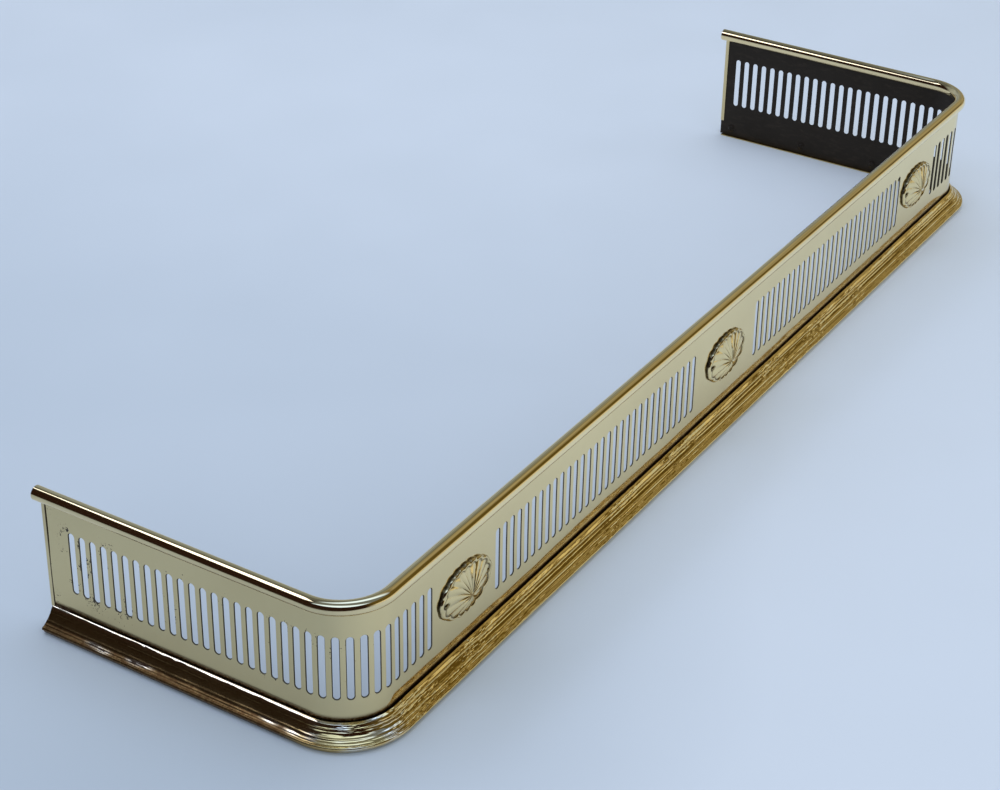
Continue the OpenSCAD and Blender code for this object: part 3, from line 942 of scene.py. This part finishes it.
def build_moulding():
    """The pressed skirting. Its reeds are worn down on the near return and round its corner."""
    section = thicken(moulding_line(1), SKIRT_WALL)
    wear_and_highlight = thicken(moulding_line(WORN_REEDS), SKIRT_WALL)
    start = SKIRT_SETBACK

    def dent(s, k, out, z):
        if z < FLAT_FOOT_Z:
            return 0.0, 0.0
        near = on_near_return(s)
        smooth = max(near, 0.7 * on_near_corner(s))
        rub_out, rub_z = smooth * (wear_and_highlight[k][0] - out), smooth * (wear_and_highlight[k][1] - z)
        above_foot = min(1, (z - FLAT_FOOT_Z) / DENT_FADE)
        below_top = min(1, (BEAD_TOP_Z + 2 * MM - z) / DENT_FADE)
        slow = noise.noise(Vector((s * 14, z * 60, 4.4))) * SLOW_DENT
        quick = noise.noise(Vector((s * 50, z * 130, 9.3))) * QUICK_DENT
        push = (slow + quick) * above_foot * below_top * (1 - 0.6 * near)
        return rub_out + push, rub_z + push

    places = stations(start, PATH_LEN - start, 4 * MM, 2 * MM)
    mesh = sweep("moulding_pressing", section, places, dent, 60)
    runs = [tuple(point.vector) for point in mesh.attributes["run"].data]
    # The points carry painted shade, how deep the dings are, and painted highlight
    for name, rule in (("dulled", moulding_shade_at), ("worn", worn_at), ("pale", painted_highlight_at)):
        values = mesh.attributes.new(name, "FLOAT", "POINT")
        values.data.foreach_set("value", [rule(s, z) for s, out, z in runs])
    add_piece("moulding_pressing", mesh, (moulding_brass,), ("base_moulding",))


# ---------- scallop shells ----------

SHELL_W = 86 * MM
SHELL_H = 54 * MM
SHELL_Z = 80 * MM
SHELL_RISE = 6 * MM
SHELL_DISH = 2.6 * MM
SHELL_EDGE = 1.4 * MM
SHELL_WEAR = 0.08 * MM
RIM_ROLL = 1.6 * MM
RIM_SHARE = 0.12
RIM_WAVE = 0.5
FAN_RIBS = 11
FAN_SWEEP = 220
LOW_LOBES = 5
RIB_DEPTH = 1.1 * MM
RIB_BOW = 2.5 * MM
LOBE_DEPTH = 0.9 * MM
FAN_DROP = 5 * MM
PIN_SPACING = 68 * MM
PIN_HEAD_D = 5.6 * MM
PIN_HEAD_H = 1.8 * MM
PIN_SEAT = 2.9 * MM
PIN_CLEAR = 0.6 * MM
# The pin's riveted tail: radius and height, in mm
PIN_TAIL = ((1.9, 0.0), (1.9, 0.7), (1.4, 1.0), (0.4, 1.05))
RIB_STEPS = 14
FAN_RINGS = 40
RIM_RINGS = 14


def ray_angle(i):
    """The direction of ray i: the fan's ribs come first, then the lobes under it."""
    fan_rays = FAN_RIBS * RIB_STEPS
    low_rays = LOW_LOBES * RIB_STEPS
    start = 90 - FAN_SWEEP / 2
    if i < fan_rays:
        return math.radians(start + FAN_SWEEP * i / fan_rays)
    return math.radians(start + FAN_SWEEP + (360 - FAN_SWEEP) * (i - fan_rays) / low_rays)


def oval_reach(angle):
    """Distance from the fan's root to the oval outline."""
    way = Vector((math.cos(angle) * 2 / SHELL_W, math.sin(angle) * 2 / SHELL_H))
    off = Vector((0, -FAN_DROP * 2 / SHELL_H))
    b, q = way.dot(off), way.dot(way)
    return (-b + math.sqrt(b * b - q * (off.dot(off) - 1))) / q


def shell_surface(i, k):
    """Place across, place up, height off the panel and painted shade, at ray i and ring k."""
    angle = ray_angle(i)
    crest = math.sin(math.pi * (i % RIB_STEPS) / RIB_STEPS)
    start = 1 - RIM_SHARE * (1 + RIM_WAVE * (1 - crest))
    if k <= FAN_RINGS:
        t = start * k / FAN_RINGS
    else:
        t = start + (1 - start) * (k - FAN_RINGS) / RIM_RINGS
    reach = oval_reach(angle) - LOBE_DEPTH * (1 - crest)
    bow = RIB_BOW * abs(math.cos(angle)) * (1 + math.sin(angle)) * math.sin(math.pi * t)
    across = t * reach * math.cos(angle)
    up = -FAN_DROP + t * reach * math.sin(angle) + bow
    inner = min(t / start, 1)
    outer = max((t - start) / (1 - start), 0)
    ring = SHELL_DISH + (SHELL_EDGE - SHELL_DISH) * outer
    dome = SHELL_RISE * (1 - inner * inner)
    groove = (1 - crest) * math.sin(math.pi * math.sqrt(inner))
    height = ring + dome - RIB_DEPTH * groove + RIM_ROLL * math.sin(math.pi * outer)
    # Painted shade: in the furrows, in the valley inside the rim, on the skirt most at the upper left,
    # and round the pin seats
    valley = math.exp(-((t - start) / 0.03) ** 2)
    upper_left = min(max(0.5 - 1.2 * across / SHELL_W + 0.8 * up / SHELL_H, 0.15), 1)
    skirt = ramp(outer, 0.85, 1) * upper_left
    dark = groove ** 3 * (1.2 - 0.6 * inner) + valley * 0.9 + skirt
    for end in (-1, 1):
        gap = math.hypot(across - end * PIN_SPACING / 2, up)
        if gap < PIN_HEAD_D / 2 + PIN_CLEAR:
            height = min(height, PIN_SEAT)
            dark = 1
    return across, up, height, min(1, dark)


def build_shell(side):
    """One scallop: ribs that fan out from a root below its middle, in a rolled, wavy rim."""
    name = side + "_scallop"
    middle = SHELL_PLACES[side]
    bm = bmesh.new()
    # Each point carries its painted shade
    furrow = bm.verts.layers.float.new("furrow")
    rays = (FAN_RIBS + LOW_LOBES) * RIB_STEPS

    def point(across, up, height, dark=0.0):
        vert = bm.verts.new(on_path(middle + across, height, SHELL_Z + up))
        vert[furrow] = dark
        return vert

    rings = []
    for k in range(1, FAN_RINGS + RIM_RINGS + 1):
        ring = []
        for i in range(rays):
            across, up, height, dark = shell_surface(i, k)
            worn = noise.noise(Vector((across * 300, up * 300, middle * 7))) * SHELL_WEAR
            ring.append(point(across, up, height + worn, dark))
        rings.append(ring)
    foot = []
    for i in range(rays):
        across, up, height, dark = shell_surface(i, FAN_RINGS + RIM_RINGS)
        foot.append(point(across, up, 0.0, dark))
    rings.append(foot)
    skin_rings(bm, rings)
    crown = point(0.0, -FAN_DROP, SHELL_DISH + SHELL_RISE)
    back = point(0.0, -FAN_DROP, 0.0)
    for i in range(rays):
        j = (i + 1) % rays
        bm.faces.new((crown, rings[0][i], rings[0][j]))
        bm.faces.new((back, foot[j], foot[i]))
    mesh = finish_mesh(bm, name, 45)
    add_piece(name, mesh, (shell_brass,), (side + "_shell",))


def dome_profile(radius, height, seat, count):
    """A domed head's profile, from its rim at the seat up to its top."""
    ball = (radius ** 2 + height ** 2) / (2 * height)
    spread = math.asin(radius / ball)
    profile = [(radius * 0.96, seat), (radius, seat + height * 0.06)]
    for angle in steps(spread, 0, count)[1:]:
        reach = max(ball * math.sin(angle), 0.01 * MM)
        profile.append((reach, seat + height - ball * (1 - math.cos(angle))))
    return profile


def build_pins(side):
    """The two domed pins of a scallop, each with its tail behind the panel."""
    name = side + "_scallop_pins"
    middle = SHELL_PLACES[side]
    out = (on_path(middle, 1, 0) - on_path(middle, 0, 0)).normalized()
    head = dome_profile(PIN_HEAD_D / 2, PIN_HEAD_H, PIN_SEAT, 8)
    tail = [(radius * MM, height * MM) for radius, height in PIN_TAIL]
    bm = bmesh.new()
    for end in (-1, 1):
        place = on_path(middle + end * PIN_SPACING / 2, 0, SHELL_Z)
        lathe(bm, head, place, out, 28)
        lathe(bm, tail, place - out * PANEL_T, -out, 20)
    mesh = finish_mesh(bm, name, 50)
    add_piece(name, mesh, (pin_brass,), (side + "_shell_pins",))


# ---------- base screws ----------

SCREW_Z = 11 * MM
SCREW_HEAD_R = 5.25 * MM
SCREW_HEAD_H = 2.6 * MM
SCREW_FLANGE_H = 0.8 * MM
SCREW_R = 2 * MM
SCREW_LEN = 3.5 * MM
FRONT_SCREWS = 11
FRONT_SCREW_PITCH = 115 * MM
RETURN_SCREWS = 3
RETURN_SCREW_PITCH = 105 * MM
FIRST_SCREW = 16 * MM


def screw_head():
    """Profile of a domed head on a flange, with a small dimple in its top."""
    flange = [(SCREW_HEAD_R, 0.0), (SCREW_HEAD_R, 0.5 * MM)]
    flange += [(SCREW_HEAD_R * 0.93, 0.75 * MM), (SCREW_HEAD_R * 0.72, SCREW_FLANGE_H)]
    dome = dome_profile(SCREW_HEAD_R * 0.7, SCREW_HEAD_H - SCREW_FLANGE_H, SCREW_FLANGE_H, 7)
    dimple = [(0.9 * MM, SCREW_HEAD_H - 0.2 * MM), (0.6 * MM, SCREW_HEAD_H - 0.9 * MM)]
    return flange + dome[1:-2] + dimple


def build_screws(name, node, places):
    """Screws with their heads on the painted inside."""
    head = screw_head()
    shank = [(SCREW_R, 0.0), (SCREW_R, SCREW_LEN - 0.4 * MM), (SCREW_R - 0.5 * MM, SCREW_LEN)]
    bm = bmesh.new()
    for s in places:
        face = on_path(s, 0, SCREW_Z)
        out = (on_path(s, 1, SCREW_Z) - face).normalized()
        lathe(bm, head, face - out * PANEL_T, -out, 32)
        lathe(bm, shank, face, out, 20)
    mesh = finish_mesh(bm, name, 50)
    add_piece(name, mesh, (screw_paint,), (node,))


return_screw_places = [FIRST_SCREW + i * RETURN_SCREW_PITCH for i in range(RETURN_SCREWS)]
front_screw_places = [
    MIDDLE_S + (i - (FRONT_SCREWS - 1) / 2) * FRONT_SCREW_PITCH for i in range(FRONT_SCREWS)
]

build_panel()
build_edging("left", 0.0, 1)
build_edging("right", PATH_LEN, -1)
build_rail()
build_moulding()
for side in SHELL_PLACES:
    build_shell(side)
    build_pins(side)
build_screws("left_screw_heads", "left_base_screws", return_screw_places)
build_screws("front_screw_heads", "front_base_screws", front_screw_places)
build_screws("right_screw_heads", "right_base_screws", [PATH_LEN - s for s in return_screw_places])

# ---------- clips, which keep their frame shape ----------

for name in ("left_base_clips", "front_base_clips", "right_base_clips"):
    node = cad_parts[name]
    node.data.materials.clear()
    node.data.materials.append(clip_steel)


# ---------- floor, light and camera ----------

FLOOR_HALF = 9.0
FLOOR_DROP = 0.5 * MM


def floor_board():
    """
    The floor's material: a pale board, with painted light that brightens it to the right. Only in
    the metal, its near part is lit more, dark ground lies left of it and pale ground far in front.
    """
    material, nodes, shader = new_material("floor_board")
    place = nodes.position()
    x, y, _ = nodes.split(place)
    cloud = nodes.noise(place, 1.3, detail=3.0)
    # Painted light: the board brightens to the right and further in front, a little uneven
    across = nodes.math("ADD", nodes.spread(x, -1.1, 0.5), nodes.spread(cloud, 0.3, 0.7, -0.12, 0.12))
    across = nodes.math("ADD", across, nodes.spread(y, -0.12, -0.45, 0.0, 0.6))
    painted_falloff = nodes.blend(across, BOARD_DIM, BOARD_BRIGHT)
    in_front = nodes.math("MULTIPLY", nodes.spread(y, -0.17, -0.23), nodes.spread(x, -0.85, -0.1))
    lit = nodes.blend(in_front, painted_falloff, BOARD_LIT)
    left_of_board = nodes.spread(x, -1.15, -1.4)
    before_board = nodes.spread(y, -3.0, -5.0)
    ground = nodes.blend(left_of_board, GROUND_PALE, GROUND_DARK)
    reflected = nodes.blend(nodes.math("MAXIMUM", left_of_board, before_board), lit, ground)
    nodes.feed(shader, "Base_Color", nodes.blend(nodes.mirrored(), painted_falloff, reflected))
    nodes.feed(shader, "Roughness", nodes.spread(nodes.noise(place, 8.0), 0.3, 0.7, 0.45, 0.6))
    return material


def build_floor():
    bm = bmesh.new()
    for x, y in ((-1, -1), (1, -1), (1, 1), (-1, 1)):
        bm.verts.new((x * FLOOR_HALF, y * FLOOR_HALF, -FLOOR_DROP))
    bm.faces.new(bm.verts)
    mesh = bpy.data.meshes.new("floor")
    bm.to_mesh(mesh)
    bm.free()
    mesh.materials.append(floor_board())
    floor = bpy.data.objects.new("floor", mesh)
    bpy.context.scene.collection.objects.link(floor)


def build_world():
    """
    A room for the metal to reflect: dark to the left, to the right cream near the floor with brown
    above it in front, olive beside and blue grey behind, and overhead an opening to the sky.
    """
    world = bpy.data.worlds.new("room")
    bpy.context.scene.world = world
    world.use_nodes = True
    nodes = Nodes(world.node_tree)
    background = world.node_tree.nodes["Background"]
    direction = nodes.add("ShaderNodeTexCoord").outputs["Generated"]
    x, y, z = nodes.split(direction)

    front = nodes.blend(nodes.spread(z, 0.1, 0.2), ROOM_CREAM, ROOM_BROWN)
    warm = nodes.blend(nodes.spread(y, -0.44, -0.3), front, ROOM_OLIVE)
    cool = nodes.blend(nodes.spread(y, 0.42, 0.62), ROOM_GREY, ROOM_BLUE)
    right = nodes.blend(nodes.spread(y, 0.05, 0.42), warm, cool)
    upper = nodes.math("MULTIPLY", nodes.spread(z, 0.58, 0.74), nodes.spread(y, 0.2, 0.35))
    right = nodes.blend(upper, right, ROOM_UPPER)
    banded = nodes.add("ShaderNodeMapping", None, Vector=direction, Scale=(2.5, 2.5, 9.0)).outputs[0]
    uneven = nodes.noise(banded, 1.0, detail=3.0, roughness=0.55)
    right = nodes.scaled(right, nodes.spread(uneven, 0.35, 0.65, 0.7, 1.3))
    room = nodes.blend(nodes.spread(x, 0.0, -0.3), right, ROOM_DARK)

    overhead = nodes.math("MULTIPLY", nodes.spread(z, 0.66, 0.72), nodes.spread(y, 0.34, 0.26))
    overhead = nodes.math("MULTIPLY", overhead, nodes.spread(x, 0.55, 0.42))
    ahead = nodes.math("ADD", nodes.math("MULTIPLY", x, 0.85), nodes.math("MULTIPLY", y, 0.52))
    opening = nodes.math("MAXIMUM", nodes.spread(ahead, 0.08, 0.2), nodes.spread(ahead, -0.36, -0.44))
    room = nodes.blend(overhead, room, nodes.blend(opening, SKY_DIM, SKY_BRIGHT))

    around = nodes.blend(nodes.mirrored(), SOFT_LIGHT, room)
    seen = nodes.add("ShaderNodeLightPath").outputs["Is Camera Ray"]
    nodes.feed(background, "Color", nodes.blend(seen, around, BACKDROP))
    nodes.feed(background, "Strength", 1.0)


def add_lamp(name, place, aim, size, power, colour, mirrored):
    """A soft oblong lamp that faces a point. mirrored tells whether the metal shows it."""
    lamp = bpy.data.lights.new(name, "AREA")
    lamp.shape = "RECTANGLE"
    lamp.size, lamp.size_y = size
    lamp.energy = power
    lamp.color = colour
    holder = bpy.data.objects.new(name, lamp)
    bpy.context.scene.collection.objects.link(holder)
    holder.visible_glossy = mirrored
    holder.location = place
    way = Vector(aim) - Vector(place)
    holder.rotation_mode = "QUATERNION"
    holder.rotation_quaternion = way.to_track_quat("-Z", "Y")


def build_camera():
    """The camera stands to the left in front of the fender, and looks down along its front."""
    place = Vector((-1.8969, -1.061, 1.2645))
    aim = Vector((-0.1917, -0.0049, 0.07))
    roll = math.radians(1.067)
    data = bpy.data.cameras.new("camera")
    data.sensor_width = 36
    data.lens = 80.49
    data.clip_start = 0.05
    data.clip_end = 50
    camera = bpy.data.objects.new("camera", data)
    bpy.context.scene.collection.objects.link(camera)
    facing = (aim - place).to_track_quat("-Z", "Y").to_matrix().to_4x4()
    camera.matrix_world = Matrix.Translation(place) @ facing @ Matrix.Rotation(roll, 4, "Z")
    bpy.context.scene.camera = camera


build_floor()
build_world()
add_lamp(
    "ceiling_lamp", place=(0.3, -0.3, 3.2), aim=(0, 0, 0), size=(2.8, 2.4), power=22,
    colour=(1.0, 0.98, 0.96), mirrored=False,
)
add_lamp(
    "window", place=(-1.1, 1.45, 2.64), aim=(-0.5, 0.2, 0), size=(1.5, 0.7), power=10,
    colour=(0.80, 0.88, 1.12), mirrored=True,
)
build_camera()
bpy.context.scene.view_settings.view_transform = "Standard"
